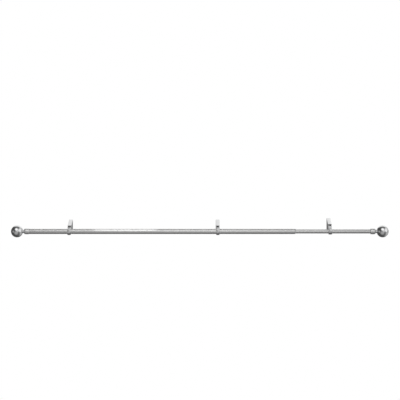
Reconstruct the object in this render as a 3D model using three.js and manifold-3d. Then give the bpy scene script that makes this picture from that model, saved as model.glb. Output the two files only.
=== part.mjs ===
// A telescopic curtain rod with ball finials, lying in the open cups of three wall brackets.
//
// Millimetres, +Z up, +X along the rod towards the thinner tube, +Y into the wall.
// The origin is the centre of the middle bracket's wall plate, on the face that meets the wall.
import * as THREE from "three";
import { mergeVertices } from "three/addons/utils/BufferGeometryUtils.js";
import Module from "manifold-3d";

const wasm = await Module();
wasm.setup();

// ---------- driving dimensions ----------

const GAP = 0.3; // between pieces that touch
const SLIP = 0.2; // between pieces that slide in each other
const ROUND = 32; // sides of the tubes and of what shows round them
const HIDDEN_ROUND = 20; // sides of what is hidden in them

// The rod. Along the rod, x is measured from its middle.
const OUTER_R = 10;
const INNER_R = 8;
const TUBE_WALL = 1;
const ROD_HALF = 684.5; // middle of the rod to the closed end of a collar
const MOUTH_X = 373; // the open end of the outer tube, with its bush
const INNER_LENGTH = 1160;
const TUBE_END = 6.5; // closed end of a collar to the end of the tube in it
const MOUTH_FLANGE = 1.2;
const MOUTH_BUSH_LENGTH = 26;
const GUIDE_LENGTH = 16;
const GUIDE_SPIGOT = 12;

// The finials. Along a finial, a is measured from the closed end of its collar, away from the rod.
const COLLAR_LENGTH = 18.5;
const COLLAR_R = 11.1;
const COLLAR_MOUTH_R = 10.7;
const COLLAR_BORE_R = 10.3;
const COLLAR_END_WALL = 2;
const COLLAR_SHOULDER = 3.6; // where the collar starts to close
const BALL_R = 23.2;
const BALL_A = 28.4;
const BALL_WALL = 1.4;
const NECK_R = 6.6;
const NECK_FOOT_R = 7.6;
const BOSS_DEPTH = 14;
const STUD_R = 2.9;
const STUD_HOLE_R = 3.2;
const PLUG_FLANGE_R = 10;
const PLUG_LENGTH = 28;

// The brackets. In a bracket's side view, u is the distance from the wall and v the height
// above its origin.
const PROJECTION = 80; // wall to rod axis
const ROD_DROP = 17.3; // rod axis under the middle of the wall plate
const ROD_MIDDLE_X = -70.4; // the rod's middle, from the middle bracket
const ARM_WIDTH = 14.6;
const ARM_WALL = 1.8;
const ARM_SLOPE = THREE.MathUtils.degToRad(20.6);
const NOSE_R = 8;
const NOSE_V = -1.74;
const ARM_FOOT_V = -26.3;
const ARM_FOOT_LENGTH = 14;
const ARM_CHIN_V = -23;
const CHIN_R = 3;
const BELLY = { u: 36, rise: 9 }; // where the arm's underside is pulled up to, above its foot
const WINDOW_V = [-1.9, 5.1]; // the opening in the nose, through which the cup's nut is held
const SLOT = { overRod: 0.9, length: 7.6 }; // the cup screw's slot: its lowest centre over the rod axis
const HOOK_RIB = { u0: 5, u1: 7.8, foot: 18.1 };
const CUP_R = 10.7;
const CUP_WALL = 3.5;
const CUP_WIDTH = 12.7;
const CUP_BACK = 13; // height of the back leg above the cup's centre
const CUP_FRONT = 8.1;
const PLATE_WALL = 2;
const PLATE_HEIGHT = 48;
const PLATE_PLAY = 0.4; // each side of the plate, in the arm
const PLATE_HOLES_V = [10, -14];
const PLATE_HOLE_R = 2.25;
const PLATE_SINK = 1.6;
const HOOK_TONGUE = { end: 9.8, under: 15.7, over: 17.3, lip: 1.6, lipTop: 20.3 };
const LOCK_TONGUE = { end: 13, thick: 2 };
const SCREW_R = 1.95; // M4
const SCREW_HOLE_R = 2.25;
const SCREW_SINK = 1.8;
const CUP_SCREW_LENGTH = 9.8;
const LOCK_SCREW_LENGTH = 4.6;
const HEAD_RIM = 0.3;
const SOCKET_R = 1.2;
const SOCKET_DEPTH = 1.7;
const NUT_R = 4.04;
const NUT_THICK = 3;
const CUP_SCREW_V = 5.2; // above the cup's centre
const LOCK_SCREW_U = 7.5;

const BRACKETS = [
  { name: "left", x: -580.1, raise: 0, tubeRadius: OUTER_R },
  { name: "centre", x: 0, raise: 0, tubeRadius: OUTER_R },
  { name: "right", x: 438.4, raise: 5.7, tubeRadius: INNER_R },
];

// ---------- materials ----------

const satinNickel = new THREE.MeshStandardMaterial({ color: 0xb9b9b8, roughness: 0.3, metalness: 1 });
const polishedChrome = new THREE.MeshStandardMaterial({ color: 0xd2d3d4, roughness: 0.06, metalness: 1 });
const zincSteel = new THREE.MeshStandardMaterial({ color: 0x9c9d9e, roughness: 0.4, metalness: 1 });
const greyNylon = new THREE.MeshStandardMaterial({ color: 0x77787a, roughness: 0.5, metalness: 0 });

// ---------- solids ----------

// A closed geometry as a manifold-3d solid.
function solid(geometry) {
  const bare = geometry.clone();
  bare.deleteAttribute("normal");
  bare.deleteAttribute("uv");
  const merged = mergeVertices(bare, 1e-4);
  const mesh = new wasm.Mesh({
    numProp: 3,
    vertProperties: new Float32Array(merged.getAttribute("position").array),
    triVerts: new Uint32Array(merged.getIndex().array),
  });
  return new wasm.Manifold(mesh);
}

// A manifold-3d solid as a geometry.
function geometryOf(made) {
  const mesh = made.getMesh();
  const geometry = new THREE.BufferGeometry();
  geometry.setAttribute("position", new THREE.BufferAttribute(new Float32Array(mesh.vertProperties), 3));
  geometry.setIndex(new THREE.BufferAttribute(new Uint32Array(mesh.triVerts), 1));
  geometry.computeVertexNormals();
  return geometry;
}

// A profile of [radius, x] points turned round the X axis. It runs towards +X on the outside.
function turned(profile, sides = ROUND) {
  const geometry = new THREE.LatheGeometry(
    profile.map(([radius, x]) => new THREE.Vector2(radius, x)),
    sides,
  );
  return geometry.rotateZ(-Math.PI / 2);
}

// A tube round the X axis.
function tube(outerRadius, innerRadius, x0, x1, sides = ROUND) {
  return turned([
    [innerRadius, x0],
    [outerRadius, x0],
    [outerRadius, x1],
    [innerRadius, x1],
    [innerRadius, x0],
  ], sides);
}

// [radius, x] points on a circle round (0, centre), from one angle to another. Angle 0 is the equator.
function meridian(radius, centre, from, to, steps) {
  return Array.from({ length: steps + 1 }, (_, i) => {
    const angle = from + ((to - from) * i) / steps;
    return [radius * Math.cos(angle), centre + radius * Math.sin(angle)];
  });
}

// Adds an arc to a shape as straight steps.
function arc(shape, x, y, radius, from, to, steps) {
  for (let i = 0; i <= steps; i++) {
    const angle = from + ((to - from) * i) / steps;
    shape.lineTo(x + radius * Math.cos(angle), y + radius * Math.sin(angle));
  }
}

// A side view in (u, v), extruded to a width across the bracket, in the bracket's own frame.
function sideView(shape, width, curveSegments = 8) {
  const geometry = new THREE.ExtrudeGeometry(shape, { depth: width, bevelEnabled: false, curveSegments });
  geometry.translate(0, 0, -width / 2);
  const towardsRoom = new THREE.Vector3(0, -1, 0);
  const up = new THREE.Vector3(0, 0, 1);
  const across = new THREE.Vector3(-1, 0, 0);
  return geometry.applyMatrix4(new THREE.Matrix4().makeBasis(towardsRoom, up, across));
}

// A box in (u, v), centred across the bracket.
function sideBox(u0, u1, v0, v1, width) {
  const box = new THREE.BoxGeometry(width, u1 - u0, v1 - v0);
  return box.translate(0, -(u0 + u1) / 2, (v0 + v1) / 2);
}

// A cylinder whose axis is at (u, v) in the side view: it runs along Y from u0 to u1.
function depthPin(radius, u0, u1, v, sides = 16) {
  return new THREE.CylinderGeometry(radius, radius, u1 - u0, sides).translate(0, -(u0 + u1) / 2, v);
}

// A cylinder along Z.
function uprightPin(radius, u, v0, v1, sides = 16) {
  const pin = new THREE.CylinderGeometry(radius, radius, v1 - v0, sides).rotateX(Math.PI / 2);
  return pin.translate(0, -u, (v0 + v1) / 2);
}

// A countersink whose wide end faces the room at distance u.
function countersink(radius, depth, u, v) {
  const over = 0.01;
  const cone = new THREE.CylinderGeometry(radius, radius + depth, depth, 16);
  return cone.translate(0, -u + depth / 2 - over, v);
}

function piece(name, geometry, material) {
  const mesh = new THREE.Mesh(geometry, material);
  mesh.name = name;
  return mesh;
}

// ---------- the rod ----------

const outerEnd = -(ROD_HALF - TUBE_END);
const innerEnd = ROD_HALF - TUBE_END;
const outerBoreR = OUTER_R - TUBE_WALL;
const innerBoreR = INNER_R - TUBE_WALL;

function mouthBush() {
  const bodyEnd = MOUTH_X - MOUTH_FLANGE;
  const bore = INNER_R + SLIP;
  return turned([
    [bore, bodyEnd - MOUTH_BUSH_LENGTH],
    [outerBoreR - SLIP, bodyEnd - MOUTH_BUSH_LENGTH],
    [outerBoreR - SLIP, bodyEnd],
    [OUTER_R, bodyEnd],
    [OUTER_R, MOUTH_X - MOUTH_FLANGE / 3],
    [OUTER_R - MOUTH_FLANGE / 3, MOUTH_X],
    [bore, MOUTH_X],
    [bore, bodyEnd - MOUTH_BUSH_LENGTH],
  ]);
}

// A nylon guide in the hidden end of the inner tube, which runs in the outer tube's bore.
function innerTubeGuide() {
  const end = innerEnd - INNER_LENGTH - GAP;
  const lightening = 4;
  return turned([
    [lightening, end - GUIDE_LENGTH],
    [outerBoreR - 1, end - GUIDE_LENGTH],
    [outerBoreR - SLIP, end - GUIDE_LENGTH + 1.5],
    [outerBoreR - SLIP, end - 2],
    [INNER_R, end],
    [innerBoreR - SLIP, end],
    [innerBoreR - SLIP, end + GUIDE_SPIGOT],
    [lightening, end + GUIDE_SPIGOT],
    [lightening, end - GUIDE_LENGTH],
  ], HIDDEN_ROUND);
}

// ---------- the finials ----------

function collar() {
  const mouth = -COLLAR_LENGTH;
  const lip = 0.6;
  const bellyLength = COLLAR_LENGTH - lip - COLLAR_SHOULDER;
  const bulge = COLLAR_R - COLLAR_MOUTH_R;
  const belly = [1, 2, 3, 4].map((i) => {
    const share = i / 5;
    return [COLLAR_MOUTH_R + bulge * Math.sin(share * Math.PI), mouth + lip + share * bellyLength];
  });
  const crown = [0, 1, 2, 3, 4].map((i) => {
    const angle = (i / 4) * (Math.PI / 2);
    const radius = NECK_FOOT_R + (COLLAR_MOUTH_R - NECK_FOOT_R) * Math.cos(angle);
    return [radius, COLLAR_SHOULDER * (Math.sin(angle) - 1)];
  });
  return turned([
    [COLLAR_BORE_R, mouth],
    [COLLAR_MOUTH_R - 0.2, mouth],
    [COLLAR_MOUTH_R, mouth + lip],
    ...belly,
    ...crown,
    [STUD_HOLE_R, 0],
    [STUD_HOLE_R, -COLLAR_END_WALL],
    [COLLAR_BORE_R - 2, -COLLAR_END_WALL],
    [COLLAR_BORE_R, -COLLAR_END_WALL - 2],
    [COLLAR_BORE_R, mouth],
  ]);
}

// A thin hollow ball on a turned neck, with a threaded boss inside.
function ball() {
  const sides = 24;
  const innerR = BALL_R - BALL_WALL;
  const bossR = NECK_R - 0.8;
  const neckAngle = -Math.acos(NECK_R / BALL_R);
  const bossAngle = -Math.acos(bossR / innerR);
  const outside = meridian(BALL_R, BALL_A, neckAngle, Math.PI / 2, 15);
  const inside = meridian(innerR, BALL_A, Math.PI / 2, bossAngle, 8);
  outside[outside.length - 1][0] = 0;
  inside[0][0] = 0;
  const neckStart = outside[0][1];
  return turned([
    ...inside,
    [bossR, BOSS_DEPTH],
    [STUD_HOLE_R, BOSS_DEPTH],
    [STUD_HOLE_R, GAP],
    [NECK_FOOT_R, GAP],
    [NECK_FOOT_R, GAP + 0.8],
    [NECK_R - 0.4, GAP + 2.4],
    [NECK_R - 0.4, neckStart - 0.8],
    ...outside,
  ], sides);
}

function stud() {
  const end = -PLUG_LENGTH + 4;
  return turned([
    [0, end],
    [STUD_R - 0.6, end],
    [STUD_R, end + 0.6],
    [STUD_R, BOSS_DEPTH - 1.1],
    [STUD_R - 0.6, BOSS_DEPTH - 0.5],
    [0, BOSS_DEPTH - 0.5],
  ], 16);
}

// The plug that is pushed into a tube's end. Its flange sits on the end of the tube.
function endPlug(boreRadius) {
  const flangeEnd = -COLLAR_END_WALL - GAP;
  const flangeStart = -TUBE_END + GAP;
  const bodyR = boreRadius - SLIP;
  return turned([
    [STUD_HOLE_R, -PLUG_LENGTH],
    [bodyR - 0.8, -PLUG_LENGTH],
    [bodyR, -PLUG_LENGTH + 1.5],
    [bodyR, flangeStart],
    [PLUG_FLANGE_R, flangeStart],
    [PLUG_FLANGE_R, flangeEnd - 1.8],
    [PLUG_FLANGE_R - 2, flangeEnd],
    [STUD_HOLE_R, flangeEnd],
    [STUD_HOLE_R, -PLUG_LENGTH],
  ], HIDDEN_ROUND);
}

function finial(side, boreRadius) {
  const group = new THREE.Group();
  group.add(
    piece(`${side}_collar`, collar(), satinNickel),
    piece(`${side}_finial_ball`, ball(), polishedChrome),
    piece(`${side}_finial_stud`, stud(), zincSteel),
    piece(`${side}_end_plug`, endPlug(boreRadius), greyNylon),
  );
  return group;
}

// The sleeve that fills the collar round the thinner tube.
function reducerSleeve() {
  return tube(PLUG_FLANGE_R, INNER_R + SLIP, -COLLAR_LENGTH + GAP, -TUBE_END - GAP);
}

function rod() {
  const group = new THREE.Group();
  const left = finial("left", outerBoreR);
  left.position.x = -ROD_HALF;
  left.rotation.z = Math.PI;
  const right = finial("right", innerBoreR);
  right.position.x = ROD_HALF;
  right.add(piece("right_reducer_sleeve", reducerSleeve(), greyNylon));
  group.add(
    piece("outer_tube", tube(OUTER_R, outerBoreR, outerEnd, MOUTH_X - MOUTH_FLANGE - GAP), satinNickel),
    piece("inner_tube", tube(INNER_R, innerBoreR, innerEnd - INNER_LENGTH, innerEnd), satinNickel),
    piece("tube_mouth_bush", mouthBush(), greyNylon),
    piece("inner_tube_guide", innerTubeGuide(), greyNylon),
    left,
    right,
  );
  return group;
}

// ---------- the brackets ----------

const cupOuterR = CUP_R + CUP_WALL;
const armFront = PROJECTION - cupOuterR - GAP;
const noseU = armFront - NOSE_R;
const armCavityWidth = ARM_WIDTH - 2 * ARM_WALL;

// The height of the arm's sloping top at distance u, inset by a wall.
function armTop(u, inset) {
  const noseR = NOSE_R - inset;
  const tangentU = noseU + noseR * Math.sin(ARM_SLOPE);
  const tangentV = NOSE_V + noseR * Math.cos(ARM_SLOPE);
  return tangentV + (tangentU - u) * Math.tan(ARM_SLOPE);
}

// The arm's side view, inset all round by a wall and starting at u = back.
function armOutline(inset, back) {
  const noseR = NOSE_R - inset;
  const front = noseU + noseR;
  const chinR = Math.max(CHIN_R - inset, 0.6);
  const chin = ARM_CHIN_V + inset;
  const foot = ARM_FOOT_V + inset;
  const shape = new THREE.Shape();
  shape.moveTo(back, armTop(back, inset));
  arc(shape, noseU, NOSE_V, noseR, Math.PI / 2 - ARM_SLOPE, 0, 8);
  arc(shape, front - chinR, chin + chinR, chinR, 0, -Math.PI / 2, 4);
  shape.quadraticCurveTo(BELLY.u, foot + BELLY.rise, ARM_FOOT_LENGTH, foot);
  shape.lineTo(back, foot);
  shape.closePath();
  return shape;
}

// A hollow arm, open at the wall, with the rib that hooks over the wall plate, a slot for the cup's screw
// and a window over it.
function bracketArm() {
  const shell = solid(sideView(armOutline(0, GAP), ARM_WIDTH));
  const cavity = solid(sideView(armOutline(ARM_WALL, -1), armCavityWidth));
  const ribTop = armTop(HOOK_RIB.u1, ARM_WALL / 2);
  const rib = solid(sideBox(HOOK_RIB.u0, HOOK_RIB.u1, HOOK_RIB.foot, ribTop, armCavityWidth + 1));
  const slotFoot = -ROD_DROP + SLOT.overRod;
  const slotTop = slotFoot + SLOT.length;
  const frontWall = [armFront - ARM_WALL - 1, armFront + 1];
  const slot = solid(sideBox(...frontWall, slotFoot, slotTop, 2 * SCREW_HOLE_R))
    .add(solid(depthPin(SCREW_HOLE_R, ...frontWall, slotFoot)))
    .add(solid(depthPin(SCREW_HOLE_R, ...frontWall, slotTop)));
  const nutWindow = solid(sideBox(noseU - ARM_WALL, armFront + 1, ...WINDOW_V, armCavityWidth));
  const lockHole = solid(uprightPin(SCREW_HOLE_R, LOCK_SCREW_U, ARM_FOOT_V - 1, ARM_FOOT_V + ARM_WALL + 1));
  return geometryOf(shell.subtract(cavity).add(rib).subtract(slot).subtract(nutWindow).subtract(lockHole));
}

// The steel plate that is screwed to the wall. The arm hooks over the tongue at its top and is
// held by a screw under the tongue at its foot.
function wallPlate() {
  const half = PLATE_HEIGHT / 2;
  const lockTop = -half + LOCK_TONGUE.thick;
  const lipBack = HOOK_TONGUE.end - HOOK_TONGUE.lip;
  const corners = [
    [0, -half],
    [LOCK_TONGUE.end, -half],
    [LOCK_TONGUE.end, lockTop],
    [PLATE_WALL, lockTop],
    [PLATE_WALL, HOOK_TONGUE.under],
    [HOOK_TONGUE.end, HOOK_TONGUE.under],
    [HOOK_TONGUE.end, HOOK_TONGUE.lipTop],
    [lipBack, HOOK_TONGUE.lipTop],
    [lipBack, HOOK_TONGUE.over],
    [PLATE_WALL, HOOK_TONGUE.over],
    [PLATE_WALL, half],
    [0, half],
  ];
  const shape = new THREE.Shape(corners.map(([u, v]) => new THREE.Vector2(u, v)));
  let made = solid(sideView(shape, armCavityWidth - 2 * PLATE_PLAY));
  for (const v of PLATE_HOLES_V) {
    made = made
      .subtract(solid(depthPin(PLATE_HOLE_R, -1, PLATE_WALL + 1, v)))
      .subtract(solid(countersink(PLATE_HOLE_R, PLATE_SINK, PLATE_WALL, v)));
  }
  return geometryOf(made.subtract(solid(uprightPin(SCREW_HOLE_R, LOCK_SCREW_U, -half - 1, lockTop + 1))));
}

// The open cup that the rod lies in, with its centre at height v.
function rodCup(v) {
  const shape = new THREE.Shape();
  const tipR = CUP_WALL / 2;
  const middleR = CUP_R + tipR;
  shape.moveTo(PROJECTION - cupOuterR, v);
  arc(shape, PROJECTION - middleR, v + CUP_BACK - tipR, tipR, Math.PI, 0, 6);
  arc(shape, PROJECTION, v, CUP_R, Math.PI, 2 * Math.PI, 18);
  arc(shape, PROJECTION + middleR, v + CUP_FRONT - tipR, tipR, Math.PI, 0, 6);
  arc(shape, PROJECTION, v, cupOuterR, 0, -Math.PI, 18);
  shape.closePath();
  const backFace = PROJECTION - cupOuterR;
  const seatFace = PROJECTION - CUP_R;
  const made = solid(sideView(shape, CUP_WIDTH))
    .subtract(solid(depthPin(SCREW_HOLE_R, backFace - 1, seatFace + 1, v + CUP_SCREW_V)))
    .subtract(solid(countersink(SCREW_HOLE_R, SCREW_SINK, seatFace, v + CUP_SCREW_V)))
    .subtract(solid(uprightPin(SCREW_HOLE_R, PROJECTION, v - cupOuterR - 1, v - CUP_R + 1)));
  return geometryOf(made);
}

// A six-sided prism along X.
function hexagon(radius, x0, x1) {
  return solid(turned([[0, x0], [radius, x0], [radius, x1], [0, x1]], 6));
}

// The countersunk screw that holds the cup, along X with its head at x = 0 and its shank towards -X.
function cupScrew() {
  const headR = SCREW_HOLE_R + SCREW_SINK - GAP - 2 * HEAD_RIM;
  const body = turned([
    [0, -CUP_SCREW_LENGTH],
    [SCREW_R - 0.5, -CUP_SCREW_LENGTH],
    [SCREW_R, -CUP_SCREW_LENGTH + 0.5],
    [SCREW_R, -headR + SCREW_R - HEAD_RIM],
    [headR, -HEAD_RIM],
    [headR, 0],
    [0, 0],
  ], 16);
  return geometryOf(solid(body).subtract(hexagon(SOCKET_R, -SOCKET_DEPTH, 1)));
}

function hexNut() {
  const ring = tube(NUT_R, SCREW_HOLE_R, -NUT_THICK / 2, NUT_THICK / 2, 24);
  return geometryOf(solid(ring).intersect(hexagon(NUT_R, -NUT_THICK, NUT_THICK)));
}

// A headless screw along X, its hexagon socket at x = 0 and its point towards +X.
function grubScrew(length) {
  const body = turned([
    [0, 0],
    [SCREW_R - 0.3, 0],
    [SCREW_R, 0.3],
    [SCREW_R, length - 0.7],
    [SCREW_R - 0.7, length],
    [0, length],
  ], 16);
  return geometryOf(solid(body).subtract(hexagon(SOCKET_R, -1, SOCKET_DEPTH)));
}

function placed(mesh, u, v, rotation) {
  mesh.position.set(0, -u, v);
  mesh.rotation.set(...rotation);
  return mesh;
}

function bracket({ name, x, raise, tubeRadius }) {
  const rodV = -ROD_DROP - raise;
  const cupV = rodV + CUP_R - tubeRadius - GAP;
  const cupScrewV = cupV + CUP_SCREW_V;
  const nutU = armFront - ARM_WALL - GAP - NUT_THICK / 2;
  const clampFoot = cupV - cupOuterR - 0.4;
  const lockFoot = ARM_FOOT_V + 0.2;
  const upwards = [0, -Math.PI / 2, 0];
  const towardsRoom = [0, 0, -Math.PI / 2];
  const cupScrewPiece = piece(`${name}_cup_screw`, cupScrew(), zincSteel);
  const nutPiece = piece(`${name}_cup_nut`, hexNut(), zincSteel);
  const clampPiece = piece(`${name}_clamp_screw`, grubScrew(rodV - tubeRadius - GAP - clampFoot), zincSteel);
  const lockPiece = piece(`${name}_lock_screw`, grubScrew(LOCK_SCREW_LENGTH), zincSteel);
  const group = new THREE.Group();
  group.add(
    piece(`${name}_wall_plate`, wallPlate(), zincSteel),
    piece(`${name}_bracket_arm`, bracketArm(), polishedChrome),
    piece(`${name}_rod_cup`, rodCup(cupV), polishedChrome),
    placed(cupScrewPiece, PROJECTION - CUP_R - 0.1, cupScrewV, towardsRoom),
    placed(nutPiece, nutU, cupScrewV, towardsRoom),
    placed(clampPiece, PROJECTION, clampFoot, upwards),
    placed(lockPiece, LOCK_SCREW_U, lockFoot, upwards),
  );
  group.position.set(x, 0, raise);
  return group;
}

// ---------- the whole ----------

const curtainRod = new THREE.Group();
const rodGroup = rod();
rodGroup.position.set(ROD_MIDDLE_X, -PROJECTION, -ROD_DROP);
curtainRod.add(rodGroup, ...BRACKETS.map(bracket));

export default curtainRod;
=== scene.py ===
"""The look of a telescopic curtain rod with ball finials in three wall brackets.

Metres, +X along the rod towards the thinner tube, +Y into the wall, +Z up.
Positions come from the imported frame. The small sizes that only the look needs are named here.
"""

import math

import bmesh
import bpy
from mathutils import Matrix, Vector


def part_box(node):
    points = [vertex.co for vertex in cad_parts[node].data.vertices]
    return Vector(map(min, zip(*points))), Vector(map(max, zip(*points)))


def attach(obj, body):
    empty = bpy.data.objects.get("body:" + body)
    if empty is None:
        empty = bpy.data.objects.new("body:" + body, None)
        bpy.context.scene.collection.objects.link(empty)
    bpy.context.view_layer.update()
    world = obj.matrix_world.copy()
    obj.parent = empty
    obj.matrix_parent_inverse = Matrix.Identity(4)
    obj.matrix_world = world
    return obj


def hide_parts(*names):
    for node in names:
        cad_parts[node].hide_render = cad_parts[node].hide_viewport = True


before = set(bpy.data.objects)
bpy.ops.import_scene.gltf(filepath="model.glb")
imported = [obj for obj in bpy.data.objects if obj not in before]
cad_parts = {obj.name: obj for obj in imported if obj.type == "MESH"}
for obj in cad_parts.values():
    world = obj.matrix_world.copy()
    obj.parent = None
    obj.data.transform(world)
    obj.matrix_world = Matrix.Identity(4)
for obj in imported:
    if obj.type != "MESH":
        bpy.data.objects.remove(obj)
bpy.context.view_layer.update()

MM = 0.001
SIDES = ("left", "centre", "right")
ALONG = Vector((1, 0, 0))
UP = Vector((0, 0, 1))
TO_WALL = Vector((0, 1, 0))

ROUND_STEPS = 96
SCREW_STEPS = 32
TOOL_STEPS = 32
SMOOTH_ANGLE = math.radians(32)
BEVEL_ANGLE = math.radians(35)
SLIP = 0.2 * MM
GAP = 0.3 * MM
PAST = 1 * MM  # how far a cutting tool runs past the surface it opens
JUST_PAST = 0.02 * MM
ON_AXIS = 1e-7  # a smaller radius is a point on the axis
CORNER_SHARE = 0.4  # the most of a side that the rounding of one corner takes

# tubes and finials
TUBE_WALL = 1.0 * MM
TUBE_EDGE = 0.3 * MM
MOULDED_EDGE = 0.5 * MM
COLLAR_BORE_R = 10.3 * MM
COLLAR_MOUTH_R = 10.7 * MM
COLLAR_END_WALL = 2.0 * MM
COLLAR_SHOULDER = 3.6 * MM
COLLAR_FILLET = 2 * MM
COLLAR_LIP = 0.25 * MM
COLLAR_BELLY_START = 0.6 * MM
COLLAR_STEPS = 16
BALL_WALL = 1.4 * MM
BALL_STEPS = 48
NECK_R = 6.2 * MM
NECK_FOOT_R = 7.6 * MM
NECK_FOOT_HEIGHT = 1.1 * MM
NECK_TAPER_TOP = 2.1 * MM
NECK_EDGE = 0.6 * MM
BOSS_STEP = 0.4 * MM
STUD_BORE_R = 3.2 * MM
BOSS_DEPTH = 14 * MM
STUD_CHAMFER = 0.6 * MM
PLUG_FLANGE = 3.9 * MM
PLUG_SHOULDER = 1.8 * MM
PLUG_CROWN = 2 * MM
PLUG_RIBS = 4
PLUG_RIB_PITCH = 4 * MM
PLUG_GROOVE = (0.4 * MM, 2.5 * MM, 0.5 * MM)  # depth, length at the surface, slope
GUIDE_BORE_R = 4 * MM
GUIDE_SPIGOT_STEP = 2 * MM
GUIDE_RIBS = 3
GUIDE_RIB_PITCH = 3 * MM
GUIDE_GROOVE = (0.5 * MM, 1.4 * MM, 0.4 * MM)  # depth, length at the surface, slope
LEAD_IN = (0.8 * MM, 1.5 * MM)  # chamfer across and along a moulded plug's first end
FIRST_GROOVE = 4 * MM
GROOVE_EDGE = 0.3 * MM

# threads: M6 studs, M4 screws
STUD_PITCH = 1.0 * MM
SCREW_PITCH = 0.7 * MM
THREAD_DEPTH = 0.55  # of the pitch
SCREW_R = 1.95 * MM
SCREW_HOLE_R = 2.25 * MM
HEAD_RIM = 0.3 * MM
SCREW_TIP = 0.5 * MM
GRUB_EDGE = 0.3 * MM
GRUB_TIP = 0.7 * MM
NUT_CHAMFER = 0.4 * MM
SOCKET_R = 1.2 * MM
SOCKET_DEPTH = 1.7 * MM

# brackets
ARM_WALL = 1.8 * MM
ARM_SLOPE = math.radians(20.6)
NOSE_R = 8 * MM
NOSE_HEIGHT = -1.74 * MM
CHIN_R = 3 * MM
CHIN_HEIGHT = -23 * MM
WINDOW = (-1.9 * MM, 5.1 * MM)
WINDOW_CORNER = 0.8 * MM
FOOT_LENGTH = 14 * MM
BELLY_FROM_WALL = 36 * MM
BELLY_RISE = 9 * MM
NOSE_STEPS = 20
CHIN_STEPS = 8
BELLY_STEPS = 16
LEAST_CHIN_R = 0.6 * MM
ARM_EDGE = 1.1 * MM
RIB_FROM_WALL = (5 * MM, 7.8 * MM)
RIB_FOOT = 18.1 * MM
RIB_OVERLAP = 1 * MM
SLOT_HEIGHTS = (-16.4 * MM, -8.8 * MM)
CUP_BORE_R = 10.7 * MM
CUP_FRONT_LEG = 8.1 * MM
CUP_EDGE = 0.7 * MM
CUP_STEPS = 48
END_STEPS = 12  # round ends of the cup's legs and of the slot
SINK_DEPTH = 1.8 * MM
PLATE_WALL = 2 * MM
PLATE_HOLES = (10 * MM, -14 * MM)
PLATE_HOLE_R = 2.25 * MM
PLATE_SINK = 1.6 * MM
HOOK_UNDER = 15.7 * MM
HOOK_OVER = 17.3 * MM
HOOK_REACH = 9.8 * MM
HOOK_LIP = 1.6 * MM
HOOK_LIP_TOP = 20.3 * MM
LOCK_REACH = 13 * MM
LOCK_THICK = 2 * MM
PRESSED_EDGE = 0.35 * MM


# ---------- mesh building ----------

def finished(name, mesh):
    """A new object in the scene, smooth but for its sharp edges."""
    mesh.shade_smooth()
    mesh.set_sharp_from_angle(angle=SMOOTH_ANGLE)
    piece = bpy.data.objects.new(name, mesh)
    bpy.context.collection.objects.link(piece)
    return piece


def mesh_from(made, name):
    """A bmesh as a mesh, facing outwards."""
    bmesh.ops.recalc_face_normals(made, faces=made.faces)
    mesh = bpy.data.meshes.new(name)
    made.to_mesh(mesh)
    made.free()
    return mesh


def eased(points, reach, steps=4, closed=False):
    """A line of (a, b) points with its corners rounded, at most reach from each corner."""
    count = len(points)
    result = []
    for i, point in enumerate(points):
        here = Vector(point)
        if not closed and i in (0, count - 1):
            result.append(here)
            continue
        before = Vector(points[i - 1])
        after = Vector(points[(i + 1) % count])
        shorter = min((before - here).length, (after - here).length)
        cut = min(reach, CORNER_SHARE * shorter)
        start = here + (before - here).normalized() * cut
        end = here + (after - here).normalized() * cut
        for step in range(steps + 1):
            t = step / steps
            result.append(start * (1 - t) ** 2 + here * 2 * t * (1 - t) + end * t ** 2)
    return result


def turned(name, profile, start, axis, closed=True, steps=ROUND_STEPS):
    """(radius, distance) points turned round an axis that leaves start."""
    made = bmesh.new()
    place = Matrix.Translation(start) @ axis.to_track_quat("Z", "Y").to_matrix().to_4x4()
    rings = []
    for radius, distance in profile:
        if radius < ON_AXIS:
            rings.append([made.verts.new(place @ Vector((0, 0, distance)))] * steps)
            continue
        angles = [2 * math.pi * k / steps for k in range(steps)]
        rings.append([
            made.verts.new(place @ Vector((radius * math.cos(t), radius * math.sin(t), distance)))
            for t in angles
        ])
    pairs = list(zip(rings, rings[1:]))
    if closed:
        pairs.append((rings[-1], rings[0]))
    for low, high in pairs:
        for k in range(steps):
            corners = [low[k], low[(k + 1) % steps], high[(k + 1) % steps], high[k]]
            face = list(dict.fromkeys(corners))
            if len(face) > 2:
                made.faces.new(face)
    return mesh_from(made, name)


def turned_piece(name, corners, edge, steps, start):
    """A rounded (radius, distance) section turned round a line along +X."""
    return finished(name, turned(name, eased(corners, edge, steps, closed=True), start, ALONG))


def interpolated(profile, along):
    """The radius of a (radius, distance) profile at one distance."""
    for (radius, here), (next_radius, there) in zip(profile, profile[1:]):
        if along <= there:
            share = (along - here) / (there - here) if there > here else 1.0
            return radius + (next_radius - radius) * share
    return profile[-1][0]


def threaded(name, profile, threads, pitch, start, axis, steps=SCREW_STEPS, rows_per_pitch=8):
    """A solid (radius, distance) profile along axis, with a helical thread between two distances."""
    made = bmesh.new()
    place = Matrix.Translation(start) @ axis.to_track_quat("Z", "Y").to_matrix().to_4x4()
    length = profile[-1][1]
    rows = round(length / pitch * rows_per_pitch)
    distances = {length * row / rows for row in range(rows + 1)} | {along for _, along in profile}
    rings = []
    for along in sorted(distances):
        fade = max(0.0, min(1.0, (along - threads[0]) / pitch, (threads[1] - along) / pitch))
        ring = []
        for k in range(steps):
            phase = (along / pitch - k / steps) % 1.0
            radius = interpolated(profile, along) - THREAD_DEPTH * pitch * fade * abs(2 * phase - 1)
            angle = 2 * math.pi * k / steps
            point = Vector((radius * math.cos(angle), radius * math.sin(angle), along))
            ring.append(made.verts.new(place @ point))
        rings.append(ring)
    for low, high in zip(rings, rings[1:]):
        for k in range(steps):
            made.faces.new([low[k], low[(k + 1) % steps], high[(k + 1) % steps], high[k]])
    made.faces.new(rings[0])
    made.faces.new(rings[-1])
    return mesh_from(made, name)


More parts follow.
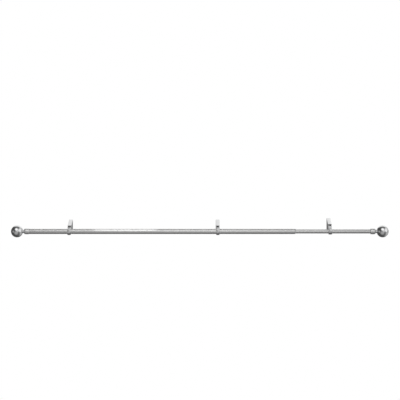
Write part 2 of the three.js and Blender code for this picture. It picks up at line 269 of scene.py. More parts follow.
def side_to_world(origin, u, v, across=0.0):
    """A point of a bracket's side view: u from the wall, v above the origin."""
    return Vector((origin.x + across, origin.y - u, origin.z + v))


def side_prism(name, outline, width, origin):
    """A side view (u, v) extruded across a bracket."""
    made = bmesh.new()
    near = [made.verts.new(side_to_world(origin, u, v, -width / 2)) for u, v in outline]
    far = [made.verts.new(side_to_world(origin, u, v, width / 2)) for u, v in outline]
    count = len(outline)
    made.faces.new(near)
    made.faces.new(list(reversed(far)))
    for k in range(count):
        made.faces.new([near[k], far[k], far[(k + 1) % count], near[(k + 1) % count]])
    return mesh_from(made, name)


def arc(u, v, radius, start, end, steps):
    """(u, v) points of an arc."""
    angles = [start + (end - start) * k / steps for k in range(steps + 1)]
    return [(u + radius * math.cos(t), v + radius * math.sin(t)) for t in angles]


def applied(piece):
    """Bakes a piece's modifiers into its mesh."""
    graph = bpy.context.evaluated_depsgraph_get()
    mesh = bpy.data.meshes.new_from_object(piece.evaluated_get(graph))
    piece.modifiers.clear()
    piece.data = mesh
    piece.data.shade_smooth()
    piece.data.set_sharp_from_angle(angle=SMOOTH_ANGLE)
    return piece


def bevelled(piece, width, segments=3):
    """Rounds a piece's sharp edges."""
    bevel = piece.modifiers.new("edge", "BEVEL")
    bevel.width = width
    bevel.segments = segments
    bevel.limit_method = "ANGLE"
    bevel.angle_limit = BEVEL_ANGLE
    return applied(piece)


def combined(piece, meshes, operation):
    """Cuts meshes out of a piece, or joins them to it."""
    tools = [bpy.data.objects.new("tool", mesh) for mesh in meshes]
    for tool in tools:
        bpy.context.collection.objects.link(tool)
        step = piece.modifiers.new("cut", "BOOLEAN")
        step.operation = operation
        step.solver = "EXACT"
        step.object = tool
    applied(piece)
    for tool in tools:
        bpy.data.objects.remove(tool)
    return piece


def cone(radius, wide, start, end, steps=TOOL_STEPS):
    """A cone to cut with, wide at its end."""
    axis = (end - start).normalized()
    length = (end - start).length
    profile = [(0, 0), (radius, 0), (wide, length), (0, length)]
    return turned("tool", profile, start, axis, closed=False, steps=steps)


def cylinder(radius, start, end, steps=TOOL_STEPS):
    """A cylinder to cut with."""
    return cone(radius, radius, start, end, steps)


def socketed(screw, start, axis):
    """Cuts the hexagon socket into a screw's end."""
    socket = cylinder(SOCKET_R, start - axis * PAST, start + axis * SOCKET_DEPTH, 6)
    return combined(screw, [socket], "DIFFERENCE")


# ---------- materials ----------

class Shader:
    """A material with one Principled shader, and short ways to wire it."""

    def __init__(self, name, **values):
        self.material = bpy.data.materials.new(name)
        self.material.use_nodes = True
        self.tree = self.material.node_tree
        self.surface = self.tree.nodes["Principled BSDF"]
        for socket, value in values.items():
            self.surface.inputs[socket.replace("_", " ")].default_value = value

    def node(self, kind, links=None, **settings):
        """A node with its settings, and its inputs linked or set."""
        made = self.tree.nodes.new(kind)
        for key, value in settings.items():
            setattr(made, key, value)
        for socket, source in (links or {}).items():
            if isinstance(source, bpy.types.NodeSocket):
                self.tree.links.new(source, made.inputs[socket])
            else:
                made.inputs[socket].default_value = source
        return made

    def stretched(self, scale):
        """The object's own coordinates, scaled."""
        place = self.node("ShaderNodeTexCoord").outputs["Object"]
        return self.node("ShaderNodeMapping", {"Vector": place, "Scale": scale}).outputs["Vector"]

    def noise(self, scale, detail=3.0, roughness=0.5, stretch=(1, 1, 1)):
        """Noise that is fixed to the object."""
        links = {"Vector": self.stretched(stretch), "Scale": scale, "Detail": detail, "Roughness": roughness}
        return self.node("ShaderNodeTexNoise", links).outputs["Fac"]

    def mapped(self, value, low, high, start=0.3, end=0.7):
        """A noise value, spread from low to high over the range that noise mostly has."""
        links = {"Value": value, "From Min": start, "From Max": end, "To Min": low, "To Max": high}
        return self.node("ShaderNodeMapRange", links).outputs["Result"]

    def blend(self, value, dark, light):
        """A colour between two. Sockets 6 and 7 and output 2 are the Mix node's colours."""
        links = {"Factor": value, 6: (*dark, 1), 7: (*light, 1)}
        return self.node("ShaderNodeMix", links, data_type="RGBA").outputs[2]

    def drive(self, socket, source):
        self.tree.links.new(source, self.surface.inputs[socket])

    def bump(self, height, strength, distance):
        made = self.node("ShaderNodeBump", {"Height": height, "Strength": strength, "Distance": distance})
        self.drive("Normal", made.outputs["Normal"])


def satin_nickel():
    """Nickel plate brushed along the tube: the reflections blur round it and stay sharp along it."""
    shader = Shader("satin_nickel", Metallic=1.0, Anisotropic=0.85)
    streaks = shader.noise(1.0, 2.0, 0.5, stretch=(40, 2400, 2400))
    clouds = shader.noise(9.0, 3.0)
    tone = shader.blend(shader.mapped(streaks, 0.0, 1.0), (0.735, 0.735, 0.73), (0.775, 0.775, 0.77))
    shader.drive("Base Color", tone)
    grain = shader.mapped(streaks, 0.31, 0.36)
    wear = shader.mapped(clouds, -0.006, 0.01)
    total = shader.node("ShaderNodeMath", {0: grain, 1: wear}, operation="ADD").outputs[0]
    shader.drive("Roughness", total)
    tangent = shader.node("ShaderNodeTangent", direction_type="RADIAL", axis="X")
    shader.drive("Tangent", tangent.outputs["Tangent"])
    shader.bump(streaks, 0.03, 0.01 * MM)
    return shader.material


def polished_chrome():
    """Chrome plate: nearly a mirror, with a faint waviness and a little haze where it is handled."""
    shader = Shader("polished_chrome", Metallic=1.0)
    haze = shader.noise(60.0, 4.0, 0.6)
    waves = shader.noise(140.0, 1.0)
    tone = shader.blend(shader.mapped(haze, 0.0, 1.0), (0.74, 0.745, 0.75), (0.8, 0.803, 0.806))
    shader.drive("Base Color", tone)
    shader.drive("Roughness", shader.mapped(haze, 0.025, 0.06))
    shader.bump(waves, 0.02, 0.02 * MM)
    return shader.material


def zinc_steel():
    """Zinc plated steel: cool grey with a mottled spangle."""
    shader = Shader("zinc_steel", Metallic=1.0)
    spangle = shader.noise(420.0, 3.0, 0.6)
    tone = shader.blend(shader.mapped(spangle, 0.0, 1.0), (0.5, 0.51, 0.52), (0.66, 0.67, 0.68))
    shader.drive("Base Color", tone)
    shader.drive("Roughness", shader.mapped(spangle, 0.32, 0.46))
    shader.bump(spangle, 0.1, 0.03 * MM)
    return shader.material


def grey_nylon():
    """Moulded nylon with a fine texture."""
    shader = Shader("grey_nylon", Metallic=0.0)
    grain = shader.noise(1800.0, 2.0)
    clouds = shader.noise(80.0, 3.0)
    tone = shader.blend(shader.mapped(clouds, 0.0, 1.0), (0.36, 0.36, 0.365), (0.42, 0.42, 0.425))
    shader.drive("Base Color", tone)
    shader.drive("Roughness", shader.mapped(grain, 0.45, 0.58))
    shader.bump(grain, 0.15, 0.03 * MM)
    return shader.material


MATERIALS = {
    "satin_nickel": satin_nickel(),
    "polished_chrome": polished_chrome(),
    "zinc_steel": zinc_steel(),
    "grey_nylon": grey_nylon(),
}


def settle(piece, node, body, material):
    """A piece stands for a CAD node, rides on its body and gets its material."""
    piece.data.materials.clear()
    piece.data.materials.append(MATERIALS[material])
    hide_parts(node)
    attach(piece, body)
    return piece


def span(node):
    """A node's lowest corner, highest corner and middle."""
    low, high = (Vector(corner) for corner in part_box(node))
    return low, high, (low + high) / 2


def lying(node):
    """A round node along X: the middle of its left end, its length and its radius."""
    low, high, middle = span(node)
    return Vector((low.x, middle.y, middle.z)), high.x - low.x, (high.z - low.z) / 2


def grooves(radius, start, count, pitch, groove):
    """Corners of count grooves round a moulded plug."""
    depth, length, slope = groove
    corners = []
    for k in range(count):
        at = start + k * pitch
        corners += [(radius, at), (radius - depth, at + slope)]
        corners += [(radius - depth, at + length - slope), (radius, at + length)]
    return corners


# ---------- the rod ----------

def make_tube(node, body):
    """A drawn tube with rounded ends."""
    start, length, radius = lying(node)
    bore = radius - TUBE_WALL
    corners = [(bore, 0), (radius, 0), (radius, length), (bore, length)]
    tube = turned_piece(node + "_drawn", corners, TUBE_EDGE, 3, start)
    settle(tube, node, body, "satin_nickel")


def make_mouth_bush():
    """The bush in the thicker tube's mouth, with a flange against its end."""
    node = "tube_mouth_bush"
    start, length, flange_r = lying(node)
    tube_start, tube_length, tube_r = lying("outer_tube")
    body_r = tube_r - TUBE_WALL - SLIP
    bore = lying("inner_tube")[2] + SLIP
    neck = tube_start.x + tube_length - start.x + GAP
    corners = [(bore, 0), (body_r, 0), (body_r, neck)]
    corners += [(flange_r, neck), (flange_r, length), (bore, length)]
    bush = turned_piece(node + "_moulded", corners, MOULDED_EDGE, 4, start)
    settle(bush, node, "outer_rod", "grey_nylon")


def make_tube_guide():
    """The ribbed guide on the thinner tube's hidden end, with a spigot in its bore."""
    node = "inner_tube_guide"
    start, length, guide_r = lying(node)
    shoulder = lying("inner_tube")[0].x - start.x - GAP
    spigot_r = guide_r - GUIDE_SPIGOT_STEP
    across, along = LEAD_IN
    corners = [(GUIDE_BORE_R, 0), (guide_r - across, 0), (guide_r, along)]
    corners += grooves(guide_r, FIRST_GROOVE, GUIDE_RIBS, GUIDE_RIB_PITCH, GUIDE_GROOVE)
    corners += [(guide_r, shoulder - across), (guide_r - across, shoulder)]
    corners += [(spigot_r, shoulder), (spigot_r, length), (GUIDE_BORE_R, length)]
    guide = turned_piece(node + "_moulded", corners, GROOVE_EDGE, 3, start)
    settle(guide, node, "inner_rod", "grey_nylon")


def make_reducer_sleeve():
    """The sleeve that fills the right collar round the thinner tube."""
    node = "right_reducer_sleeve"
    start, length, radius = lying(node)
    bore = lying("inner_tube")[2] + SLIP
    corners = [(bore, 0), (radius, 0), (radius, length), (bore, length)]
    sleeve = turned_piece(node + "_moulded", corners, MOULDED_EDGE, 4, start)
    settle(sleeve, node, "inner_rod", "grey_nylon")


# ---------- the finials ----------

class Finial:
    """One end of the rod. Distances run outwards from the closed end of its collar."""

    def __init__(self, side):
        self.side = side
        self.body = "outer_rod" if side == "left" else "inner_rod"
        self.out = -ALONG if side == "left" else ALONG
        low, high, middle = span(f"{side}_collar")
        end = low.x if side == "left" else high.x
        self.base = Vector((end, middle.y, middle.z))
        self.collar_length = high.x - low.x
        self.collar_r = (high.z - low.z) / 2

    def reach(self, node):
        """Where a node starts and ends from the closed end of the collar, and its radius."""
        low, high, _ = span(node)
        start, end = sorted((x - self.base.x) * self.out.x for x in (low.x, high.x))
        return start, end, (high.z - low.z) / 2

    def piece(self, node, label, profile, body, material, closed=True):
        name = f"{node}_{label}"
        mesh = turned(name, profile, self.base, self.out, closed)
        return settle(finished(name, mesh), node, body, material)

    def collar(self):
        """A cap over the tube's end, with a slight belly and a round crown."""
        mouth = -self.collar_length
        shoulder = -COLLAR_SHOULDER
        floor = -COLLAR_END_WALL
        inside = [(STUD_BORE_R, 0), (STUD_BORE_R, floor), (COLLAR_BORE_R - COLLAR_FILLET, floor)]
        inside += [(COLLAR_BORE_R, floor - COLLAR_FILLET), (COLLAR_BORE_R, mouth)]
        lip = [(COLLAR_MOUTH_R - COLLAR_LIP, mouth), (COLLAR_MOUTH_R, mouth + COLLAR_LIP)]
        bulge = self.collar_r - COLLAR_MOUTH_R
        belly_start = mouth + COLLAR_BELLY_START
        belly = []
        for k in range(1, COLLAR_STEPS):
            share = k / COLLAR_STEPS
            radius = COLLAR_MOUTH_R + bulge * math.sin(share * math.pi)
            belly.append((radius, belly_start + share * (shoulder - belly_start)))
        crown = []
        for k in range(COLLAR_STEPS + 1):
            angle = math.pi / 2 * k / COLLAR_STEPS
            radius = NECK_FOOT_R + (COLLAR_MOUTH_R - NECK_FOOT_R) * math.cos(angle)
            crown.append((radius, shoulder * (1 - math.sin(angle))))
        node = f"{self.side}_collar"
        self.piece(node, "plated", inside + lip + belly + crown, node, "satin_nickel")

    def ball(self):
        """A hollow ball with its neck, and a boss inside it that takes the stud."""
        node = f"{self.side}_finial_ball"
        start, end, radius = self.reach(node)
        centre = end - radius
        inner_r = radius - BALL_WALL
        boss_r = NECK_R - BOSS_STEP
        outer_from = -math.acos(NECK_R / radius)
        inner_from = -math.acos(boss_r / inner_r)
        outside = []
        inside = []
        for k in range(BALL_STEPS + 1):
            share = k / BALL_STEPS
            angle = outer_from + (math.pi / 2 - outer_from) * share
            outside.append((max(0.0, radius * math.cos(angle)), centre + radius * math.sin(angle)))
            angle = math.pi / 2 + (inner_from - math.pi / 2) * share
            inside.append((max(0.0, inner_r * math.cos(angle)), centre + inner_r * math.sin(angle)))
        outside[-1] = (0.0, outside[-1][1])
        inside[0] = (0.0, inside[0][1])
        foot = [(STUD_BORE_R, start), (NECK_FOOT_R, start), (NECK_FOOT_R, start + NECK_FOOT_HEIGHT)]
        foot += [(NECK_R, start + NECK_TAPER_TOP), outside[0]]
        boss = [(boss_r, BOSS_DEPTH), (STUD_BORE_R, BOSS_DEPTH)]
        profile = inside + boss + eased(foot, NECK_EDGE, 4) + outside[1:]
        self.piece(node, "spun", profile, f"{self.side}_ball", "polished_chrome", closed=False)

    def stud(self):
        """The threaded stud from the ball through the collar into the plug."""
        node = f"{self.side}_finial_stud"
        name = node + "_rolled"
        start, end, radius = self.reach(node)
        length = end - start
        profile = [(radius - STUD_CHAMFER, 0), (radius, STUD_CHAMFER)]
        profile += [(radius, length - STUD_CHAMFER), (radius - STUD_CHAMFER, length)]
        foot = self.base + self.out * start
        threads = (-STUD_PITCH, length + STUD_PITCH)
        mesh = threaded(name, profile, threads, STUD_PITCH, foot, self.out)
        settle(finished(name, mesh), node, f"{self.side}_ball", "zinc_steel")

    def plug(self):
        """The ribbed plug in the tube's end, which the stud screws into."""
        node = f"{self.side}_end_plug"
        start, end, flange_r = self.reach(node)
        tube_r = lying("outer_tube" if self.side == "left" else "inner_tube")[2]
        body_r = tube_r - TUBE_WALL - SLIP
        flange = end - PLUG_FLANGE
        across, along = LEAD_IN
        corners = [(STUD_BORE_R, start), (body_r - across, start), (body_r, start + along)]
        corners += grooves(body_r, start + FIRST_GROOVE, PLUG_RIBS, PLUG_RIB_PITCH, PLUG_GROOVE)
        corners += [(body_r, flange), (flange_r, flange), (flange_r, end - PLUG_SHOULDER)]
        corners += [(flange_r - PLUG_CROWN, end), (STUD_BORE_R, end)]
        profile = eased(corners, GROOVE_EDGE, 3, closed=True)
        self.piece(node, "moulded", profile, self.body, "grey_nylon")

    def make(self):
        self.collar()
        self.ball()
        self.stud()
        self.plug()


# ---------- the brackets ----------

class Bracket:
    """One wall bracket, with its origin at the middle of the plate's wall face."""

    def __init__(self, side):
        self.side = side
        low, high, middle = span(f"{side}_wall_plate")
        self.origin = Vector((middle.x, high.y, middle.z))
        self.plate_half = (high.z - low.z) / 2
        self.plate_width = high.x - low.x
        arm_low, arm_high, _ = span(f"{side}_bracket_arm")
        self.arm_width = arm_high.x - arm_low.x
        self.arm_front = self.origin.y - arm_low.y
        self.arm_back = self.origin.y - arm_high.y
        self.arm_foot = arm_low.z - self.origin.z
        cup_low, cup_high, _ = span(f"{side}_rod_cup")
        self.cup_width = cup_high.x - cup_low.x
        self.cup_outer_r = (cup_high.y - cup_low.y) / 2
        self.cup_u = self.origin.y - (cup_low.y + cup_high.y) / 2
        self.cup_v = cup_low.z - self.origin.z + self.cup_outer_r
        self.cup_back_v = cup_high.z - self.origin.z

    def at(self, u, v, across=0.0):
        """A point of this bracket's side view."""
        return side_to_world(self.origin, u, v, across)

    def middle(self, node):
        return span(f"{self.side}_{node}")[2]

    def settle(self, piece, node, body, material):
        return settle(piece, f"{self.side}_{node}", body, material)

    def front_prism(self, outline, reach):
        """An outline of (x, v) points seen from the room, as a prism along Y between two distances."""
        made = bmesh.new()
        near = [made.verts.new(self.at(reach[0], v, x)) for x, v in outline]
        far = [made.verts.new(self.at(reach[1], v, x)) for x, v in outline]
        count = len(outline)
        made.faces.new(near)
        made.faces.new(list(reversed(far)))
        for k in range(count):
            made.faces.new([near[k], near[(k + 1) % count], far[(k + 1) % count], far[k]])
        return mesh_from(made, "tool")

    def roof(self, u, inset):
        """The height of the arm's sloping roof at distance u, inset by a wall."""
        nose_r = NOSE_R - inset
        tangent_u = self.arm_front - NOSE_R + nose_r * math.sin(ARM_SLOPE)
        tangent_v = NOSE_HEIGHT + nose_r * math.cos(ARM_SLOPE)
        return tangent_v + (tangent_u - u) * math.tan(ARM_SLOPE)

    def arm_outline(self, inset, back):
        """The arm's side view from u = back, inset all round by a wall."""
        nose_r = NOSE_R - inset
        nose_u = self.arm_front - NOSE_R
        chin_r = max(CHIN_R - inset, LEAST_CHIN_R)
        chin_u = nose_u + nose_r - chin_r
        chin_v = CHIN_HEIGHT + inset
        foot_v = self.arm_foot + inset
        outline = [(back, self.roof(back, inset))]
        outline += arc(nose_u, NOSE_HEIGHT, nose_r, math.pi / 2 - ARM_SLOPE, 0, NOSE_STEPS)
        outline += arc(chin_u, chin_v + chin_r, chin_r, 0, -math.pi / 2, CHIN_STEPS)
        start = Vector((chin_u, chin_v))
        bend = Vector((BELLY_FROM_WALL, foot_v + BELLY_RISE))
        end = Vector((FOOT_LENGTH, foot_v))
        for k in range(1, BELLY_STEPS + 1):
            t = k / BELLY_STEPS
            outline.append(tuple(start * (1 - t) ** 2 + bend * 2 * t * (1 - t) + end * t ** 2))
        outline.append((back, foot_v))
        return outline

    def arm(self):
        """The hollow arm, open to the wall, with a window and the cup's slot in its nose."""
        name = f"{self.side}_arm_plated"
        cavity_width = self.arm_width - 2 * ARM_WALL
        outside = self.arm_outline(0, self.arm_back)
        shell = finished(name, side_prism(name, outside, self.arm_width, self.origin))
        bevelled(shell, ARM_EDGE, 4)
        wall = (self.arm_front - ARM_WALL - PAST, self.arm_front + PAST)
        slot_foot, slot_top = SLOT_HEIGHTS
        slot = arc(0, slot_top, SCREW_HOLE_R, 0, math.pi, END_STEPS)
        slot += arc(0, slot_foot, SCREW_HOLE_R, math.pi, 2 * math.pi, END_STEPS)
        half = cavity_width / 2
        window = [(-half, WINDOW[0]), (half, WINDOW[0]), (half, WINDOW[1]), (-half, WINDOW[1])]
        window_reach = (self.arm_front - NOSE_R - ARM_WALL, wall[1])
        openings = [
            side_prism("tool", self.arm_outline(ARM_WALL, -PAST), cavity_width, self.origin),
            self.front_prism(slot, wall),
            self.front_prism(eased(window, WINDOW_CORNER, closed=True), window_reach),
            self.lock_hole(self.arm_foot, ARM_WALL),
        ]
        combined(shell, openings, "DIFFERENCE")
        combined(shell, [self.hook_rib(cavity_width + RIB_OVERLAP)], "UNION")
        self.settle(shell, "bracket_arm", "brackets", "polished_chrome")

    def lock_hole(self, foot, wall):
        """The lock screw's hole, up through a wall that starts at height foot."""
        u = self.origin.y - self.middle("lock_screw").y
        return cylinder(SCREW_HOLE_R, self.at(u, foot - PAST), self.at(u, foot + wall + PAST))

    def hook_rib(self, width):
        """The rib under the arm's roof that hooks over the wall plate's tongue."""
        back, front = RIB_FROM_WALL
        top = self.roof(front, ARM_WALL / 2)
        outline = [(back, RIB_FOOT + MOULDED_EDGE), (back + MOULDED_EDGE, RIB_FOOT)]
        outline += [(front - MOULDED_EDGE, RIB_FOOT), (front, RIB_FOOT + MOULDED_EDGE)]
        outline += [(front, top), (back, top)]
        return side_prism("tool", outline, width, self.origin)

    def cup(self):
        """The open cup that the rod lies in."""
        name = f"{self.side}_cup_plated"
        u, v = self.cup_u, self.cup_v
        tip_r = (self.cup_outer_r - CUP_BORE_R) / 2
        middle_r = CUP_BORE_R + tip_r
        outline = arc(u - middle_r, self.cup_back_v - tip_r, tip_r, math.pi, 0, END_STEPS)
        outline += arc(u, v, CUP_BORE_R, math.pi, 2 * math.pi, CUP_STEPS)
        outline += arc(u + middle_r, v + CUP_FRONT_LEG - tip_r, tip_r, math.pi, 0, END_STEPS)
        outline += arc(u, v, self.cup_outer_r, 0, -math.pi, CUP_STEPS)
        cup = finished(name, side_prism(name, outline, self.cup_width, self.origin))
        bevelled(cup, CUP_EDGE, 3)
        screw_v = self.middle("cup_screw").z - self.origin.z
        seat = u - CUP_BORE_R
        back = u - self.cup_outer_r
        hole = (self.at(back - PAST, screw_v), self.at(seat + PAST, screw_v))
        sink = (self.at(seat - SINK_DEPTH, screw_v), self.at(seat + JUST_PAST, screw_v))
        clamp_hole = (self.at(u, v - self.cup_outer_r - PAST), self.at(u, v - CUP_BORE_R + PAST))
        tools = [
            cylinder(SCREW_HOLE_R, *hole),
            cone(SCREW_HOLE_R, SCREW_HOLE_R + SINK_DEPTH, *sink),
            cylinder(SCREW_HOLE_R, *clamp_hole),
        ]
        combined(cup, tools, "DIFFERENCE")
        self.settle(cup, "rod_cup", f"{self.side}_cup", "polished_chrome")

    def plate(self):
        """The wall plate, with a hooked upper tongue and a lower one for the lock screw."""
        name = f"{self.side}_plate_pressed"
        half = self.plate_half
        lip_back = HOOK_REACH - HOOK_LIP
        lock_top = LOCK_THICK - half
        outline = [(0, -half), (LOCK_REACH, -half), (LOCK_REACH, lock_top), (PLATE_WALL, lock_top)]
        outline += [(PLATE_WALL, HOOK_UNDER), (HOOK_REACH, HOOK_UNDER), (HOOK_REACH, HOOK_LIP_TOP)]
        outline += [(lip_back, HOOK_LIP_TOP), (lip_back, HOOK_OVER), (PLATE_WALL, HOOK_OVER)]
        outline += [(PLATE_WALL, half), (0, half)]
        plate = finished(name, side_prism(name, outline, self.plate_width, self.origin))
        bevelled(plate, PRESSED_EDGE, 3)
        tools = []
        for v in PLATE_HOLES:
            tools.append(cylinder(PLATE_HOLE_R, self.at(-PAST, v), self.at(PLATE_WALL + PAST, v)))
            sink = (self.at(PLATE_WALL - PLATE_SINK, v), self.at(PLATE_WALL + JUST_PAST, v))
            tools.append(cone(PLATE_HOLE_R, PLATE_HOLE_R + PLATE_SINK, *sink))
        tools.append(self.lock_hole(-half, LOCK_THICK))
        combined(plate, tools, "DIFFERENCE")
        self.settle(plate, "wall_plate", "brackets", "zinc_steel")

    def cup_screw(self):
        """The countersunk screw that bolts the cup to the arm."""
        name = f"{self.side}_cup_screw_rolled"
        low, high, middle = span(f"{self.side}_cup_screw")
        head_r = (high.x - low.x) / 2
        length = high.y - low.y
        shank = HEAD_RIM + head_r - SCREW_R
        profile = [(head_r - HEAD_RIM / 2, 0), (head_r, HEAD_RIM / 2)]
        profile += [(head_r, HEAD_RIM), (SCREW_R, shank)]
        profile += [(SCREW_R, length - SCREW_TIP), (SCREW_R - SCREW_TIP, length)]
        head = Vector((middle.x, low.y, middle.z))
        mesh = threaded(name, profile, (shank, length + SCREW_PITCH), SCREW_PITCH, head, TO_WALL)
        screw = socketed(finished(name, mesh), head, TO_WALL)
        self.settle(screw, "cup_screw", f"{self.side}_cup", "zinc_steel")

    def cup_nut(self):
        """The hexagon nut inside the arm."""
        name = f"{self.side}_cup_nut_pressed"
        low, high, middle = span(f"{self.side}_cup_nut")
        width, height, thick = high.x - low.x, high.z - low.z, high.y - low.y
        corner_r = max(width, height) / 2
        first = 0 if width > height else math.pi / 2
        v = middle.z - self.origin.z
        u = self.origin.y - high.y
        hexagon = arc(0, v, corner_r, first, first + 5 * math.pi / 3, 5)
        nut = finished(name, self.front_prism(hexagon, (u, u + thick)))
        face_r = corner_r - 2 * NUT_CHAMFER
        drum = [(0, 0), (face_r, 0), (corner_r, NUT_CHAMFER)]
        drum += [(corner_r, thick - NUT_CHAMFER), (face_r, thick), (0, thick)]
        back = Vector((middle.x, high.y, middle.z))
        combined(nut, [turned("tool", drum, back, -TO_WALL, closed=False)], "INTERSECT")
        bore = [(0, -GAP)]
        turns = int(thick / SCREW_PITCH)
        for k in range(turns + 1):
            bore += [(SCREW_HOLE_R, k * thick / turns), (SCREW_HOLE_R + GAP, (k + 0.5) * thick / turns)]
        bore += [(0, thick + SCREW_PITCH)]
        tapped = turned("tool", bore, back, -TO_WALL, closed=False, steps=TOOL_STEPS)
        combined(nut, [tapped], "DIFFERENCE")
        self.settle(nut, "cup_nut", f"{self.side}_cup", "zinc_steel")

    def grub_screw(self, node, body):
        """A headless screw that is turned from below."""
        name = f"{self.side}_{node}_rolled"
        low, high, middle = span(f"{self.side}_{node}")
        length = high.z - low.z
        profile = [(SCREW_R - GRUB_EDGE, 0), (SCREW_R, GRUB_EDGE)]
        profile += [(SCREW_R, length - GRUB_TIP), (SCREW_R - GRUB_TIP, length)]
        foot = Vector((middle.x, middle.y, low.z))
        threads = (-SCREW_PITCH, length + SCREW_PITCH)
        mesh = threaded(name, profile, threads, SCREW_PITCH, foot, UP)
        screw = socketed(finished(name, mesh), foot, UP)
        self.settle(screw, node, body, "zinc_steel")

    def make(self):
        self.arm()
        self.cup()
        self.plate()
        self.cup_screw()
        self.cup_nut()
        self.grub_screw("clamp_screw", f"{self.side}_clamp")
        self.grub_screw("lock_screw", f"{self.side}_lock")


# ---------- light, floor and camera ----------

CAMERA_DISTANCE = 5.26
CAMERA_OVER_ROD = 122.6 * MM
CAMERA_BESIDE_CUP = -69.6 * MM
FLOOR_HEIGHT = -1.2
FLOOR_HALF = 3.0
FLOOR_GLOW = 0.8
FLOOR_PAINT = (0.86, 0.86, 0.86, 1)
WHITE = (1, 1, 1, 1)
VIEW_WIDTH_AT_ROD = 1.56
SENSOR = 36.0


def make_camera():
    """Level with the wall's normal, far off, a little over the rod."""
    _, _, rod = span("outer_tube")
    _, _, middle_cup = span("centre_rod_cup")
    data = bpy.data.cameras.new("camera")
    data.sensor_width = SENSOR
    data.lens = SENSOR * CAMERA_DISTANCE / VIEW_WIDTH_AT_ROD
    camera = bpy.data.objects.new("camera", data)
    camera.location = (middle_cup.x + CAMERA_BESIDE_CUP, rod.y - CAMERA_DISTANCE, rod.z + CAMERA_OVER_ROD)
    camera.rotation_euler = (math.pi / 2, 0, 0)
    bpy.context.collection.objects.link(camera)
    bpy.context.scene.camera = camera


def make_floor():
    """A pale floor far below, bright enough to run into the background."""
    made = bmesh.new()
    signs = ((-1, -1), (1, -1), (1, 1), (-1, 1))
    made.faces.new([made.verts.new((x * FLOOR_HALF, y * FLOOR_HALF, 0)) for x, y in signs])
    mesh = mesh_from(made, "floor")
    floor = bpy.data.objects.new("floor", mesh)
    floor.location = (0, 0, FLOOR_HEIGHT)
    bpy.context.collection.objects.link(floor)
    shader = Shader("floor_paint", Roughness=0.9)
    shader.surface.inputs["Base Color"].default_value = FLOOR_PAINT
    shader.surface.inputs["Emission Color"].default_value = WHITE
    shader.surface.inputs["Emission Strength"].default_value = FLOOR_GLOW
    mesh.materials.append(shader.material)
    floor.visible_glossy = False


# The studio that the metal mirrors: soft panels, each with its azimuth from the camera's side towards +X,
# its elevation, the angle of its even light, the angle where it ends (all in degrees) and its brightness.
ROOM_LIGHT = 0.08
PANELS = {
    "bright side of the room": (70, 10, 50, 130, 0.07),
    "key softbox": (-8, 43, 6, 34, 1.05),
    "second softbox": (72, 22, 12, 40, 0.8),
    "fill in front": (22, 14, 8, 36, 0.47),
    "right wall": (80, -12, 12, 36, 0.22),
    "table in front": (-14, -28, 6, 50, 0.3),
    "floor on the right": (116, -30, 10, 38, 0.33),
    "left strip": (-72, -2, 5, 22, 0.33),
    "backdrop": (178, -4, 10, 44, 0.09),
    "backdrop top": (180, 40, 10, 38, 0.82),
    "backdrop right": (130, 30, 10, 38, 0.5),
    "ceiling": (0, 78, 8, 40, 0.06),
}
# A narrow light close to the thicker tube, which leaves a brighter length on it.
STRIP_FROM_BRACKET = 81 * MM
STRIP_LENGTH = 252 * MM
STRIP_HEIGHT = 70 * MM
STRIP_DISTANCE = 120 * MM
STRIP_ELEVATION = 66
STRIP_SPREAD = math.radians(70)
STRIP_POWER = 0.012


def direction(azimuth, elevation):
    """The way to a lamp, from degrees."""
    a, e = math.radians(azimuth), math.radians(elevation)
    return Vector((math.sin(a) * math.cos(e), -math.cos(a) * math.cos(e), math.sin(e)))


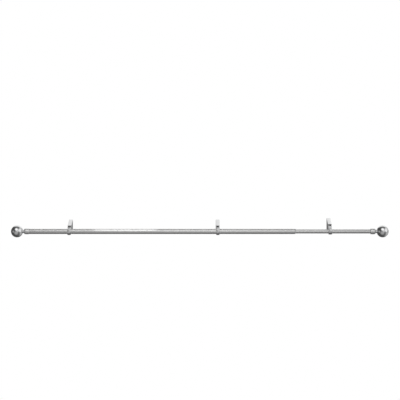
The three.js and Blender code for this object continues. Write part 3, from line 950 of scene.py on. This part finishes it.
def make_world():
    """White where the camera sees it, and the studio's panels where the metal mirrors it."""
    world = bpy.data.worlds.new("studio")
    bpy.context.scene.world = world
    world.use_nodes = True
    tree = world.node_tree
    tree.nodes.clear()
    link = tree.links.new
    place = tree.nodes.new("ShaderNodeTexCoord")
    total = None
    for azimuth, elevation, inner, outer, brightness in PANELS.values():
        aim = tree.nodes.new("ShaderNodeVectorMath")
        aim.operation = "DOT_PRODUCT"
        aim.inputs[1].default_value = direction(azimuth, elevation)
        link(place.outputs["Generated"], aim.inputs[0])
        panel = tree.nodes.new("ShaderNodeMapRange")
        panel.interpolation_type = "SMOOTHSTEP"
        panel.inputs["From Min"].default_value = math.cos(math.radians(outer))
        panel.inputs["From Max"].default_value = math.cos(math.radians(inner))
        panel.inputs["To Max"].default_value = brightness
        link(aim.outputs["Value"], panel.inputs["Value"])
        add = tree.nodes.new("ShaderNodeMath")
        add.operation = "ADD"
        add.inputs[1].default_value = ROOM_LIGHT
        if total is not None:
            link(total, add.inputs[1])
        link(panel.outputs["Result"], add.inputs[0])
        total = add.outputs[0]
    mirrored = tree.nodes.new("ShaderNodeBackground")
    link(total, mirrored.inputs["Strength"])
    mirrored.inputs["Color"].default_value = WHITE
    seen = tree.nodes.new("ShaderNodeBackground")
    seen.inputs["Color"].default_value = WHITE
    rays = tree.nodes.new("ShaderNodeLightPath")
    mix = tree.nodes.new("ShaderNodeMixShader")
    link(rays.outputs["Is Camera Ray"], mix.inputs[0])
    link(mirrored.outputs[0], mix.inputs[1])
    link(seen.outputs[0], mix.inputs[2])
    out = tree.nodes.new("ShaderNodeOutputWorld")
    link(mix.outputs[0], out.inputs["Surface"])


def make_strip_light():
    """The narrow light over the thicker tube."""
    _, _, rod = span("outer_tube")
    _, _, bracket = span("left_wall_plate")
    data = bpy.data.lights.new("strip", "AREA")
    data.shape = "RECTANGLE"
    data.size = STRIP_LENGTH
    data.size_y = STRIP_HEIGHT
    data.spread = STRIP_SPREAD
    data.energy = STRIP_POWER
    lamp = bpy.data.objects.new("strip", data)
    away = direction(0, STRIP_ELEVATION)
    lit_middle = Vector((bracket.x + STRIP_FROM_BRACKET + STRIP_LENGTH / 2, rod.y, rod.z))
    lamp.location = lit_middle + away * STRIP_DISTANCE
    lamp.rotation_euler = (-away).to_track_quat("-Z", "Y").to_euler()
    lamp.visible_camera = False
    bpy.context.collection.objects.link(lamp)


# ---------- the whole ----------

make_tube("outer_tube", "outer_rod")
make_tube("inner_tube", "inner_rod")
make_mouth_bush()
make_tube_guide()
for end in ("left", "right"):
    Finial(end).make()
make_reducer_sleeve()
for side in SIDES:
    Bracket(side).make()

make_camera()
make_floor()
make_world()
make_strip_light()
bpy.context.scene.view_settings.view_transform = "Standard"
